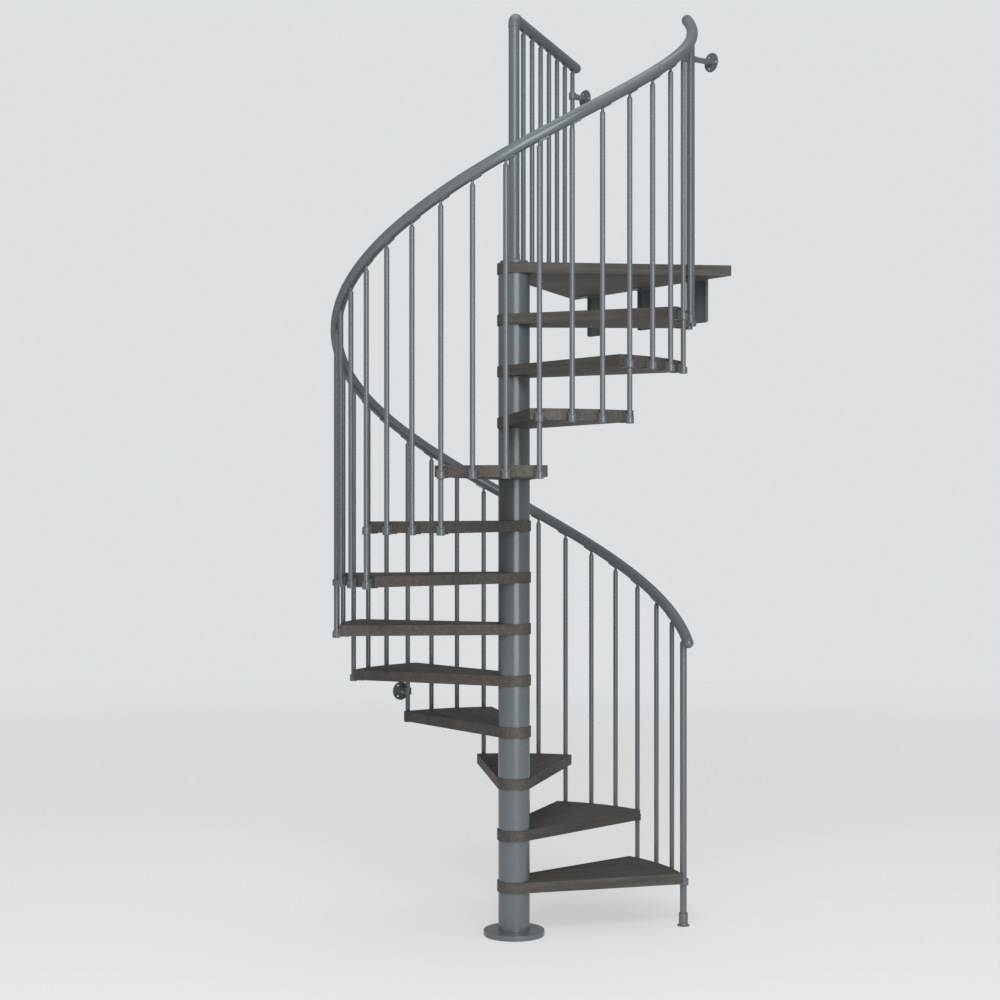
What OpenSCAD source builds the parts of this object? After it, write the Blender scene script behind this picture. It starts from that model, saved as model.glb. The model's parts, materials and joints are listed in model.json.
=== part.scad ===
// Spiral staircase for the corner of two walls. Wedge treads are stacked on a
// column with tubular spacers, a straight-edged landing closes the top, and
// balusters in cup sockets carry a tubular handrail that winds up with them.
// The origin is on the floor at the column's axis. +X and +Y point at the walls.
// The stair climbs anticlockwise, seen from above.

/* [Stair] */
// Height from one tread's top to the next
rise = 210; // [180:1:255]
// Height of the first tread's top above the floor
first_top = 223; // [190:1:270]
// Turn from one tread to the next, in degrees
step_angle = 29.425; // [26:0.005:31]
// Direction of the last baluster, beside the landing's front edge, in degrees
arrival_angle = -30.9; // [-36:0.1:-24]
// Distance from the balusters' circle to each wall
wall_gap = 25; // [20:1:60]

/* [Column] */
// Diameter of the tubular spacers between the treads
column_d = 129; // [100:1:160]
// Wall thickness of the spacers
column_wall = 4; // [2:0.5:8]
// Diameter of the pole that runs up inside the stack
pole_d = 45; // [30:1:60]
// Diameter of the base plate
base_d = 250; // [200:1:320]
// Thickness of the base plate
base_t = 22; // [10:1:30]
// Chamfer round the base plate's top edge
base_chamfer = 2; // [0.5:0.5:5]

/* [Treads] */
// Radius of the treads' outer edge
tread_r = 709; // [580:1:900]
// Thickness of the treads and the landing
tread_t = 43; // [30:1:60]
// Angle between a tread's two outer corners, in degrees
tread_sweep = 34.8; // [31:0.1:38]
// How far a tread's round inner end stands proud of the column
collar_proud = 5; // [2:0.5:12]

/* [Landing] */
// Gap between the landing's straight edge and the wall
landing_gap = 5; // [2:1:20]
// Angle from the landing's front corner to the last baluster, in degrees
landing_front_lap = 2.76; // [2:0.01:5]
// Direction of the landing's back corner, in degrees
landing_back_angle = 35.8; // [35.8:0.1:45]
// Play of the last baluster in the hole through the landing
landing_hole_play = 0.75; // [0.3:0.05:3]

/* [Balusters] */
// Diameter of the balusters
baluster_d = 20; // [14:1:26]
// Diameter of the post at the foot of the stair
newel_d = 28; // [20:1:34]
// Diameter of the neck on top of each baluster
neck_d = 11; // [6:0.5:13]
// How far a baluster's top ends below the handrail's centre
baluster_drop = 38; // [34:1:60]
// Play between a rod and the cup or ring round it
fit_gap = 0.3; // [0.1:0.05:0.5]

/* [Sockets] */
// Outer diameter of a baluster's cup
socket_d = 32; // [28:1:44]
// How far a cup's inner side ends below the tread's top
socket_drop = 10; // [0:1:20]
// How far a cup's slanted top falls from its inner to its outer side
socket_slant = 17; // [0:1:20]
// Width of the block between a cup and the tread's edge
socket_neck_w = 26; // [16:1:32]
// How far a cup reaches below the tread
socket_below = 8; // [4:1:16]
// Thickness of the lip under the tread
lip_t = 4; // [2:0.5:8]
// How far the lip reaches under the tread
lip_reach = 36; // [20:1:60]
// Thickness of a closed cup's floor
socket_floor = 4; // [2:0.5:10]
// Outer diameter of the clamp that holds the first post
clamp_d = 44; // [38:1:52]
// How far the clamp's slanted top falls
clamp_slant = 17; // [0:1:24]
// How far the clamp reaches below the tread
clamp_below = 10; // [4:1:20]

/* [Handrail] */
// Diameter of the handrail's tube
rail_d = 45; // [36:1:60]
// Height of the handrail's centre above the tread at its lower edge
rail_height = 1006; // [850:1:1100]
// How far the handrail runs below the first post, in degrees
rail_start_run = 5.7; // [3:0.1:8]
// How far the handrail runs past the last baluster, in degrees
rail_end_run = 2.3; // [2:0.1:8]
// How far a joint ring stands proud of the handrail
ring_proud = 1.2; // [0.8:0.1:3]
// Length of a joint ring
ring_w = 9; // [4:1:20]
// Width of the saddle plates under the handrail
saddle_w = 20; // [12:1:26]
// Thickness of the saddle plates
saddle_t = 3.5; // [2:0.5:6]
// Reach of a saddle plate uphill of its baluster
saddle_up = 25; // [16:1:28]
// Reach of a saddle plate downhill of its baluster
saddle_down = 12; // [8:1:30]

/* [Guard] */
// Direction of the landing's guard from the column's axis, in degrees
guard_angle = 34.36; // [30:0.01:35.4]
// Height of the guard rail's centre above the landing
guard_height = 1006; // [850:1:1100]
// Number of balusters in the guard
guard_count = 7; // [4:1:9]
// Distance from the column's axis to the guard's first baluster
guard_first = 117.7; // [90:1:150]
// Distance from the landing's edge back to the guard's last baluster
guard_last_inset = 92.8; // [60:1:140]
// Distance from the landing's edge back to the guard rail's end
guard_end_inset = 40; // [30:1:58]
// Height of the neck between a guard baluster and the rail
guard_neck_h = 8; // [4:1:20]
// Diameter of the rings round the guard balusters' feet
foot_ring_d = 30; // [28:1:40]
// Height of the rings round the guard balusters' feet
foot_ring_h = 8; // [4:1:20]
// Diameter of the disc that clamps the landing
washer_d = 116; // [90:1:130]
// Thickness of the disc that clamps the landing
washer_t = 12; // [6:1:20]
// Height of the sleeve round the guard post's foot
sleeve_h = 30; // [15:1:60]
// Wall thickness of the sleeve
sleeve_wall = 1.5; // [1:0.25:4]
// How far the elbow stands proud of the post
elbow_proud = 1; // [0.5:0.25:3]
// Radius of the inside of the elbow's bend
elbow_inner_r = 1.5; // [1:0.5:10]
// Length of the elbow's straight ends
elbow_end = 4; // [2:0.5:20]

/* [Wall fixings] */
// Width of the angle brackets under the landing
bracket_w = 90; // [60:1:120]
// Height of the angle brackets
bracket_drop = 178; // [120:1:200]
// Reach of the angle brackets' flanges from the wall
bracket_reach = 75; // [50:1:120]
// Thickness of the angle brackets' plate
bracket_t = 5; // [3:0.5:8]
// Depth of the angle brackets' side lips
bracket_lip = 14; // [8:1:24]
// Distance from the landing's front corner to the first bracket
bracket_front_inset = 189; // [120:1:220]
// Distance from the landing's back corner to the last bracket
bracket_back_inset = 148; // [100:1:220]
// Diameter of the round wall flanges
flange_d = 80; // [70:1:110]
// Thickness of the round wall flanges
flange_t = 4; // [3:0.5:10]
// Diameter of the circle through a flange's bolt holes
flange_pcd = 54; // [46:1:60]
// Diameter of a flange's bolt holes
flange_hole_d = 6.5; // [5:0.5:9]
// Diameter of the arms between the flanges and the balusters
arm_d = 22; // [16:1:26]
// Outer diameter of the ring that grips a baluster
grip_d = 32; // [28:1:40]
// Height of the ring that grips a baluster
grip_h = 30; // [24:1:50]
// Height of the lower flange above the fourth tread
lower_fix_height = 85; // [40:1:160]
// Depth of the upper flange below the handrail's centre
upper_fix_drop = 146; // [60:1:200]
// Depth of the guard's flange below the guard rail's centre
guard_fix_drop = 139; // [60:1:400]
// Sideways step of the lower arm along the wall
lower_fix_shift = -21; // [-60:1:60]
// Sideways step of the guard's arm along the wall
guard_fix_shift = 9; // [-40:1:40]

/* [Hidden] */
$fn = 64;
METAL = "#5f6a70";
WOOD = "#4a423b";
tread_count = 12;
per_tread = 3;
last_baluster = tread_count * per_tread;
start_angle = arrival_angle - tread_count * step_angle;

// Radii and planes that follow from the driving sizes
baluster_r = tread_r + socket_d / 2;
wall = baluster_r + wall_gap;
landing_edge = wall - landing_gap;
collar_r = column_d / 2 + collar_proud;
side_r = collar_r - 1;
rail_r = rail_d / 2;

// The handrail's helix
rail_pitch = rise / step_angle;
slope = atan(rail_pitch * 180 / PI / baluster_r);
rail_from = start_angle - rail_start_run;
rail_to = arrival_angle + rail_end_run;
// The joints between its four lengths, counted in balusters from the first post
RAIL_JOINTS = [8.3, 19.67, 31.27];
rail_ends = concat(rail_from, [for (k = RAIL_JOINTS) baluster_angle(k)], rail_to);
RAIL_SIDES = 24;
RAIL_STEP = 3;

// The landing and its guard
landing_top = tread_top(tread_count + 1);
landing_bottom = landing_top - tread_t;
landing_front = edge_point(arrival_angle - landing_front_lap);
landing_back = edge_point(landing_back_angle);
guard_z = landing_top + guard_height;
guard_reach = landing_edge / cos(guard_angle);
guard_last = guard_reach - guard_last_inset;
guard_end = guard_reach - guard_end_inset;
guard_pitch = (guard_last - guard_first) / (guard_count - 1);
elbow_d = rail_d + 2 * elbow_proud;
elbow_bend_r = elbow_d / 2 + elbow_inner_r;
elbow_leg = elbow_bend_r + elbow_end;

// ---- functions ----

// A point at radius r in direction a
function polar(r, a) = [r * cos(a), r * sin(a)];

// The height of tread n's top; the landing follows the last tread
function tread_top(n) = first_top + (n - 1) * rise;

// The direction of baluster k, counted from the first post
function baluster_angle(k) = start_angle + k * step_angle / per_tread;

// The tread whose socket holds baluster k's foot
function foot_tread(k) = ceil(k / per_tread);

// The height of the handrail's centre in direction a
function rail_z(a) = first_top + rail_height + rail_pitch * (a - start_angle);

// The point on the landing's straight edge in direction a
function edge_point(a) = [landing_edge, landing_edge * tan(a)];

// Where the tangent from point p meets the circle that the sides run to, which
// lies just inside the collar; side is 1 or -1
function side_foot(p, side) =
    polar(side_r, atan2(p[1], p[0]) + side * acos(side_r / norm(p)));

// Point j of the ring round the handrail in direction a
function rail_point(a, j) =
    let (
        turn = 360 * j / RAIL_SIDES,
        across = rail_r * cos(turn),
        up = rail_r * sin(turn)
    )
    [
        (baluster_r + across) * cos(a) + up * sin(slope) * sin(a),
        (baluster_r + across) * sin(a) - up * sin(slope) * cos(a),
        rail_z(a) + up * cos(slope)
    ];

// The place of guard baluster j
function guard_point(j) = polar(guard_first + j * guard_pitch, guard_angle);

// ---- shared shapes ----

// The plan of a plate with a round inner end, whose straight sides run nearly
// tangent to it through points p and q, to beyond times their length
module wedge(p, q, beyond) {
    a = side_foot(p, -1);
    b = side_foot(q, 1);
    circle(r = collar_r);
    polygon([a, a + (p - a) * beyond, b + (q - b) * beyond, b]);
}

// An upright rod whose domed top ends in a flat as wide as the neck on it
module domed_rod(d, bottom, top) {
    dome = sqrt(d * d - neck_d * neck_d) / 2;
    translate([0, 0, top - dome]) {
        mirror([0, 0, 1]) cylinder(d = d, h = top - dome - bottom);
        intersection() {
            sphere(d = d);
            translate([0, 0, -d / 4]) cylinder(d = 2 * d, h = dome + d / 4);
        }
    }
}

// Moves to baluster k, with +X pointing away from the column
module at_baluster(k, z) {
    translate(concat(polar(baluster_r, baluster_angle(k)), z))
        rotate([0, 0, baluster_angle(k)])
            children();
}

// Moves onto the handrail in direction a, with +Y along it, uphill
module on_rail(a) {
    translate(concat(polar(baluster_r, a), rail_z(a)))
        rotate([0, 0, a]) rotate([slope, 0, 0])
            children();
}

// A cup on a tread's edge, its slanted top falling outwards, with a lip under
// the tread. z = 0 is the tread's top.
module socket(d, rod_d, slant, below, through) {
    bottom = -tread_t - below;
    height = -socket_drop - bottom;
    bore_from = through ? bottom - 1 : bottom + socket_floor;
    difference() {
        union() {
            difference() {
                union() {
                    translate([0, 0, bottom]) cylinder(d = d, h = height);
                    translate([-d / 2, -socket_neck_w / 2, bottom])
                        cube([d / 2, socket_neck_w, height]);
                }
                translate([-baluster_r, 0, -tread_t])
                    cylinder(r = tread_r + fit_gap, h = tread_t, $fn = 360);
                translate([-d / 2, -d, -socket_drop])
                    rotate([0, atan(slant / d), 0])
                        cube([2 * d, 2 * d, height]);
            }
            lip();
        }
        translate([0, 0, bore_from])
            cylinder(d = rod_d + 2 * fit_gap, h = height + socket_floor + 2);
    }
}

// The round-ended plate that runs from a cup to under the tread
module lip() {
    reach = socket_d / 2 + lip_reach - socket_neck_w / 2;
    translate([0, 0, -tread_t - lip_t]) linear_extrude(lip_t) {
        translate([-reach, -socket_neck_w / 2]) square([reach, socket_neck_w]);
        translate([-reach, 0]) circle(d = socket_neck_w);
    }
}

// A length of the helical handrail between two directions
module rail_length(from, to) {
    rings = ceil((to - from) / RAIL_STEP);
    points = [
        for (i = [0 : rings]) for (j = [0 : RAIL_SIDES - 1])
            rail_point(from + (to - from) * i / rings, j)
    ];
    sides = [
        for (i = [0 : rings - 1]) for (j = [0 : RAIL_SIDES - 1])
            let (k = (j + 1) % RAIL_SIDES, a = i * RAIL_SIDES, b = a + RAIL_SIDES)
            each [[a + j, a + k, b + k], [a + j, b + k, b + j]]
    ];
    foot = [for (j = [RAIL_SIDES - 1 : -1 : 0]) j];
    head = [for (j = [0 : RAIL_SIDES - 1]) rings * RAIL_SIDES + j];
    polyhedron(points, concat([foot], sides, [head]));
}

// The half ball that closes a tube of diameter d, bulging along +Y
module end_ball(d) {
    intersection() {
        sphere(d = d);
        translate([-d, 0, -d]) cube(2 * d);
    }
}

// A short plate hollowed to the tube above it, with a neck down to a rod's top
module saddle(tilt, drop) {
    seat = rail_r + fit_gap;
    difference() {
        union() {
            rotate([tilt, 0, 0]) translate([-saddle_w / 2, -saddle_down, -rail_r - saddle_t])
                cube([saddle_w, saddle_down + saddle_up, saddle_t + rail_r / 8]);
            translate([0, 0, -drop]) cylinder(d = neck_d, h = drop - rail_r * 3 / 4);
        }
        rotate([tilt, 0, 0]) rotate([90, 0, 0])
            cylinder(r = seat, h = 4 * saddle_up, center = true);
    }
}

// A round wall flange with an arm and a ring that grips a rod. The rod stands
// at the origin; the flange's back lies at x = reach, y = shift.
module wall_fixing(reach, shift) {
    run = norm([reach, shift]);
    difference() {
        union() {
            translate([0, 0, -grip_h / 2]) cylinder(d = grip_d, h = grip_h);
            rotate([0, 0, atan2(shift, reach)]) rotate([0, 90, 0])
                cylinder(d = arm_d, h = run);
            translate([reach - flange_t, shift, 0]) rotate([0, 90, 0])
                cylinder(d = flange_d, h = flange_t);
        }
        translate([0, 0, -grip_h]) cylinder(d = baluster_d + 2 * fit_gap, h = 2 * grip_h);
        for (turn = [180, 60, -60])
            translate([reach, shift + flange_pcd / 2 * cos(turn), flange_pcd / 2 * sin(turn)])
                rotate([0, 90, 0])
                    cylinder(d = flange_hole_d, h = 4 * flange_t, center = true);
        translate([reach, -flange_d - abs(shift), -flange_d])
            cube([arm_d, 2 * (flange_d + abs(shift)), 2 * flange_d]);
    }
}

// ---- the column ----

module base_plate() {
    r = base_d / 2;
    color(METAL) rotate_extrude($fn = 96)
        polygon([[0, 0], [r, 0], [r, base_t - base_chamfer], [r - base_chamfer, base_t], [0, base_t]]);
}

module column_pole() {
    color(METAL) translate([0, 0, base_t]) cylinder(d = pole_d, h = landing_top - base_t);
}

module spacer(bottom, top) {
    translate([0, 0, bottom]) difference() {
        cylinder(d = column_d, h = top - bottom);
        translate([0, 0, -1]) cylinder(d = column_d - 2 * column_wall, h = top - bottom + 2);
    }
}

module column_spacers() {
    color(METAL) {
        spacer(base_t, first_top - tread_t);
        for (n = [1 : tread_count]) spacer(tread_top(n), tread_top(n + 1) - tread_t);
    }
}

// ---- the treads and the landing ----

module pole_bore() {
    translate([0, 0, -1]) cylinder(d = pole_d + 2 * fit_gap, h = tread_t + 2);
}

module tread(n) {
    corner = polar(tread_r, tread_sweep / 2);
    color(WOOD)
        translate([0, 0, tread_top(n) - tread_t])
            rotate([0, 0, start_angle + step_angle * (n - 0.5)])
                difference() {
                    linear_extrude(tread_t) intersection() {
                        wedge([corner[0], -corner[1]], corner, 1.1);
                        circle(r = tread_r, $fn = 360);
                    }
                    pole_bore();
                }
}

module landing() {
    color(WOOD) translate([0, 0, landing_bottom]) difference() {
        linear_extrude(tread_t) wedge(landing_front, landing_back, 1);
        pole_bore();
        translate(concat(polar(baluster_r, arrival_angle), -1))
            cylinder(d = baluster_d + 2 * landing_hole_play, h = tread_t + 2);
    }
}

module landing_washer() {
    color(METAL) translate([0, 0, landing_top]) {
        cylinder(d = washer_d, h = washer_t);
        translate([0, 0, washer_t]) difference() {
            cylinder(d = pole_d + 2 * (fit_gap + sleeve_wall), h = sleeve_h);
            cylinder(d = pole_d + 2 * fit_gap, h = sleeve_h + 1);
        }
    }
}

// ---- sockets, balusters and the first post ----

// The sockets of treads first to last. The first post has a clamp instead.
module sockets(first, last) {
    color(METAL)
        for (n = [first : last])
            for (k = [max(1, (n - 1) * per_tread) : n * per_tread])
                at_baluster(k, tread_top(n))
                    socket(
                        socket_d, baluster_d, socket_slant, socket_below,
                        k == (n - 1) * per_tread
                    );
}

module balusters(first, last) {
    color(METAL)
        for (k = [first : last])
            at_baluster(k, 0)
                domed_rod(
                    baluster_d,
                    tread_top(foot_tread(k)) - tread_t - socket_below + socket_floor,
                    rail_z(baluster_angle(k)) - baluster_drop
                );
}

// Sizes of the first post's foot
FOOT_D = 52;
FOOT_SLEEVE_D = 38;
FOOT_H = 54;
FOOT_FLARE_H = 14;
FOOT_RIM_H = 3;
FOOT_FLOOR = 5;

module newel_post() {
    color(METAL) at_baluster(0, 0)
        domed_rod(newel_d, FOOT_FLOOR, rail_z(start_angle) - baluster_drop);
}

// A sleeve that flares out to the floor in a hollow curve
module newel_foot() {
    flare = [
        for (turn = [0 : 15 : 90])
            [
                FOOT_D / 2 - (FOOT_D - FOOT_SLEEVE_D) / 2 * sin(turn),
                FOOT_RIM_H + (FOOT_FLARE_H - FOOT_RIM_H) * (1 - cos(turn))
            ]
    ];
    color(METAL) at_baluster(0, 0) difference() {
        rotate_extrude()
            polygon(concat(
                [[0, 0], [FOOT_D / 2, 0]],
                flare,
                [[FOOT_SLEEVE_D / 2, FOOT_H - 1], [FOOT_SLEEVE_D / 2 - 1, FOOT_H], [0, FOOT_H]]
            ));
        translate([0, 0, FOOT_FLOOR]) cylinder(d = newel_d + 2 * fit_gap, h = FOOT_H);
    }
}

// Sizes of the clamp's set screw
SCREW_D = 9;
SCREW_H = 3;
SCREW_DROP = 37;
SCREW_OUT = 0;

module newel_clamp() {
    color(METAL) at_baluster(0, first_top) {
        socket(clamp_d, newel_d, clamp_slant, clamp_below, true);
        translate([SCREW_OUT, -clamp_d / 2 - SCREW_H + 1, -SCREW_DROP]) rotate([-90, 0, 0])
            cylinder(d = SCREW_D, h = SCREW_H);
    }
}

// ---- the handrail ----

// One of the handrail's lengths, numbered from the bottom
module handrail(n) {
    color(METAL) rail_length(rail_ends[n - 1], rail_ends[n]);
}

// Rings that cover the joints between the handrail's lengths
module handrail_rings() {
    color(METAL)
        for (k = RAIL_JOINTS)
            on_rail(baluster_angle(k)) rotate([90, 0, 0]) difference() {
                cylinder(r = rail_r + ring_proud, h = ring_w, center = true);
                cylinder(r = rail_r + fit_gap / 2, h = ring_w + 2, center = true);
            }
}

module handrail_caps() {
    color(METAL) {
        on_rail(rail_from) rotate([0, 0, 180]) end_ball(rail_d);
        on_rail(rail_to) end_ball(rail_d);
    }
}

module handrail_saddles() {
    color(METAL)
        for (k = [0 : last_baluster])
            at_baluster(k, rail_z(baluster_angle(k))) saddle(slope, baluster_drop);
}

// ---- the landing's guard ----

module guard_post() {
    bottom = landing_top + washer_t;
    color(METAL) translate([0, 0, bottom])
        cylinder(d = pole_d, h = guard_z - elbow_leg - bottom);
}

// A quarter bend from the post's top to the rail, with short straight ends
module guard_elbow() {
    color(METAL) translate([0, 0, guard_z]) rotate([0, 0, guard_angle]) {
        translate([elbow_bend_r, 0, -elbow_bend_r]) rotate([90, 0, 0]) rotate([0, 0, 90])
            rotate_extrude(angle = 90)
                translate([elbow_bend_r, 0]) circle(d = elbow_d);
        translate([0, 0, -elbow_leg]) cylinder(d = elbow_d, h = elbow_end);
        translate([elbow_bend_r, 0, 0]) rotate([0, 90, 0])
            cylinder(d = elbow_d, h = elbow_end);
    }
}

module guard_rail() {
    color(METAL) translate([0, 0, guard_z]) rotate([0, 0, guard_angle])
        translate([elbow_leg, 0, 0]) rotate([0, 90, 0])
            cylinder(d = rail_d, h = guard_end - elbow_leg);
}

module guard_cap() {
    color(METAL) translate(concat(polar(guard_end, guard_angle), guard_z))
        rotate([0, 0, guard_angle - 90])
            end_ball(rail_d);
}

module guard_balusters() {
    color(METAL)
        for (j = [0 : guard_count - 1])
            translate(guard_point(j))
                domed_rod(baluster_d, landing_top, guard_z - rail_r - guard_neck_h);
}

module guard_feet() {
    color(METAL)
        for (j = [0 : guard_count - 1])
            translate(concat(guard_point(j), landing_top)) difference() {
                cylinder(d = foot_ring_d, h = foot_ring_h);
                translate([0, 0, -1])
                    cylinder(d = baluster_d + 2 * fit_gap, h = foot_ring_h + 2);
            }
}

module guard_saddles() {
    color(METAL)
        for (j = [0 : guard_count - 1])
            translate(concat(guard_point(j), guard_z)) rotate([0, 0, guard_angle - 90])
                saddle(0, rail_r + guard_neck_h);
}

// ---- wall fixings ----

// The tread whose last baluster the lower wall fixing grips
LOWER_FIX_TREAD = 4;

// An angle bracket with stiffening lips. It stands on the wall, its flange
// under the landing.
module angle_bracket() {
    translate([-bracket_t, -bracket_w / 2, -bracket_drop])
        cube([bracket_t, bracket_w, bracket_drop]);
    translate([-bracket_reach, -bracket_w / 2, -bracket_t])
        cube([bracket_reach, bracket_w, bracket_t]);
    for (side = [0, 1])
        translate([-bracket_lip, side * (bracket_w - bracket_t) - bracket_w / 2, -bracket_drop])
            cube([bracket_lip, bracket_t, bracket_drop]);
}

module landing_brackets() {
    front = landing_front[1] + bracket_front_inset;
    back = landing_back[1] - bracket_back_inset;
    color(METAL)
        for (y = [front, (front + back) / 2, back])
            translate([wall, y, landing_bottom]) angle_bracket();
}

module wall_fixing_lower() {
    p = polar(baluster_r, baluster_angle(LOWER_FIX_TREAD * per_tread));
    color(METAL)
        translate(concat(p, tread_top(LOWER_FIX_TREAD) + lower_fix_height))
            rotate([0, 0, 90])
                wall_fixing(wall - p[1], -lower_fix_shift);
}

module wall_fixing_upper() {
    p = polar(baluster_r, arrival_angle);
    color(METAL) translate(concat(p, rail_z(arrival_angle) - upper_fix_drop))
        wall_fixing(wall - p[0], 0);
}

module wall_fixing_guard() {
    p = guard_point(guard_count - 1);
    color(METAL) translate(concat(p, guard_z - guard_fix_drop))
        wall_fixing(wall - p[0], guard_fix_shift);
}

base_plate();
column_pole();
column_spacers();
tread(1);  // tread_01
tread(2);  // tread_02
tread(3);  // tread_03
tread(4);  // tread_04
tread(5);  // tread_05
tread(6);  // tread_06
tread(7);  // tread_07
tread(8);  // tread_08
tread(9);  // tread_09
tread(10);  // tread_10
tread(11);  // tread_11
tread(12);  // tread_12
landing();
landing_washer();
sockets(1, 4);  // sockets_lower
sockets(5, 8);  // sockets_middle
sockets(9, 12);  // sockets_upper
balusters(1, 12);  // balusters_lower
balusters(13, 24);  // balusters_middle
balusters(25, 36);  // balusters_upper
newel_post();
newel_foot();
newel_clamp();
handrail(1);  // handrail_1
handrail(2);  // handrail_2
handrail(3);  // handrail_3
handrail(4);  // handrail_4
handrail_rings();
handrail_caps();
handrail_saddles();
guard_post();
guard_elbow();
guard_rail();
guard_cap();
guard_balusters();
guard_feet();
guard_saddles();
landing_brackets();
wall_fixing_lower();
wall_fixing_upper();
wall_fixing_guard();
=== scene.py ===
"""Spiral staircase for the corner of two walls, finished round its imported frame.

Every piece is modelled at the place and size that the frame gives: the boards,
the column, the cups and rods, the winding handrail, the landing's guard and
the wall fixings. A plain stage with soft light and a camera completes it.
"""

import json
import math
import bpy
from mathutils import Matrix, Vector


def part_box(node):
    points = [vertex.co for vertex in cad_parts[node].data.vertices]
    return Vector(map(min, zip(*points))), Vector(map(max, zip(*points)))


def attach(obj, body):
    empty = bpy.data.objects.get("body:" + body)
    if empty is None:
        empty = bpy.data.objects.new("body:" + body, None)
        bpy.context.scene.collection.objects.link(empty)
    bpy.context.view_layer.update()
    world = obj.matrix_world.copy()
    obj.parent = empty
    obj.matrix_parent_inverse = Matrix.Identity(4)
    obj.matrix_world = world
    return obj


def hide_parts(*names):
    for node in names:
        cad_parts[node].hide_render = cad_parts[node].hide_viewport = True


bl_info = {
    "name": "Corner spiral staircase",
    "version": (1, 0, 0),
    "blender": (4, 5, 0),
    "location": "3D View > Sidebar > Staircase",
    "description": "Models a spiral staircase round its packed frame",
    "category": "Add Mesh",
}

from collections import namedtuple
from contextlib import contextmanager

import bmesh
import bpy
from mathutils import Matrix, Vector

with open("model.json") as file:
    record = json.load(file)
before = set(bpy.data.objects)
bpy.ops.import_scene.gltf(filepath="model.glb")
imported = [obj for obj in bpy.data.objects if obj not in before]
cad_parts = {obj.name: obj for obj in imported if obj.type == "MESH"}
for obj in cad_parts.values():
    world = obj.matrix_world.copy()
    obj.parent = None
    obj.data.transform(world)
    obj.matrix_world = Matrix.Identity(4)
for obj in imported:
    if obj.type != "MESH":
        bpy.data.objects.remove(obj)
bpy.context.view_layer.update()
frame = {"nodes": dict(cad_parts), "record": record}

BODY = "root"
METAL = "metal"
WOOD = "wood"
QUARTER = math.pi / 2
SAME_POINT = 1e-6
NEAR = 1e-5
WELD = 2e-5
PER_TREAD = 3
TREADS = 12
FLIGHTS = (("lower", 1, 4), ("middle", 5, 8), ("upper", 9, 12))

Rod = namedtuple("Rod", "x y bottom top radius")
RailLength = namedtuple("RailLength", "heading height turn")


# ---- settings ----


def tone(name, description, default):
    """A colour that a user may change, given as red, green and blue."""
    return bpy.props.FloatVectorProperty(
        name=name, description=description, subtype="COLOR", size=4, min=0, max=1,
        default=(*default, 1))


def length(name, description, default, least=0):
    """A length that a user may change, in metres."""
    return bpy.props.FloatProperty(
        name=name, description=description, unit="LENGTH", min=least, default=default)


def number(name, description, default):
    """A plain number that a user may change."""
    return bpy.props.FloatProperty(name=name, description=description, default=default)


class StairWood(bpy.types.PropertyGroup):
    dark: tone("Dark grain", "Colour of the grain's dark streaks", (0.037, 0.031, 0.0255))
    middle: tone("Stain", "Colour of the stained wood", (0.054, 0.045, 0.037))
    light: tone("Light grain", "Colour of the grain's light streaks", (0.075, 0.062, 0.051))
    lath: length(
        "Lath width", "Width of the laths that a board is glued from", 0.042, least=0.01)
    rounding: length("Edge rounding", "Radius of the boards' edges", 0.0018)


class StairMetal(bpy.types.PropertyGroup):
    coat: tone("Coat", "Colour of the powder coat", (0.118, 0.134, 0.142))
    speck: tone("Specks", "Colour of the powder coat's darker specks", (0.096, 0.109, 0.116))
    rounding: length("Edge rounding", "Radius of the castings' edges", 0.0009)
    play: length("Play", "Gap between a rod and the cup or ring round it", 0.0003)


class StairParts(bpy.types.PropertyGroup):
    column_wall: length(
        "Column wall", "Wall thickness of the column's tubes", 0.004, least=0.001)
    neck: length("Neck", "Radius of the neck on top of each rod", 0.0055, least=0.002)
    cup_slant: length(
        "Cup slant", "Fall of a cup's top from its inner to its outer side", 0.017)
    cup_drop: length("Cup drop", "Depth of a cup's inner side below the tread's top", 0.010)
    cup_neck: length(
        "Cup block", "Half the width of the block between a cup and its tread", 0.013,
        least=0.005)
    saddle_up: length(
        "Saddle, uphill", "Reach of a saddle plate uphill of its rod", 0.025, least=0.01)
    saddle_down: length(
        "Saddle, downhill", "Reach of a saddle plate downhill of its rod", 0.012, least=0.005)
    saddle_plate: length(
        "Saddle plate", "Thickness of the saddle plates", 0.0035, least=0.001)


class StairStage(bpy.types.PropertyGroup):
    camera_place: bpy.props.FloatVectorProperty(
        name="Camera", description="Place of the camera", subtype="TRANSLATION",
        default=(-4.2602, -5.7393, 1.7419))
    camera_heading: bpy.props.FloatProperty(
        name="Heading", description="Direction that the camera looks in, from +Y towards +X",
        subtype="ANGLE", default=math.radians(36.125))
    lens: number("Lens", "Focal length on a 36 mm sensor, in millimetres", 62.88)
    shift: number("Shift", "Upward shift of the camera's frame", 0.0087)
    floor: tone("Floor", "Colour of the floor", (0.28, 0.278, 0.279))
    glow: number("Floor glow", "Light that the floor gives off itself", 1.62)
    backdrop: tone("Backdrop", "Colour behind the staircase", (0.72, 0.75, 0.77))
    ambient: number("Ambient", "Strength of the light from all round", 0.68)
    mirrored: bpy.props.FloatProperty(
        name="Mirrored", description="Share of that light that shows in glossy finishes",
        min=0, max=1, default=0.45)
    key: number("Key", "Power of the large light beside the camera, in watts", 400)
    fill: number("Fill", "Power of the high light in front, in watts", 400)


# ---- measures from the frame ----


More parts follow.
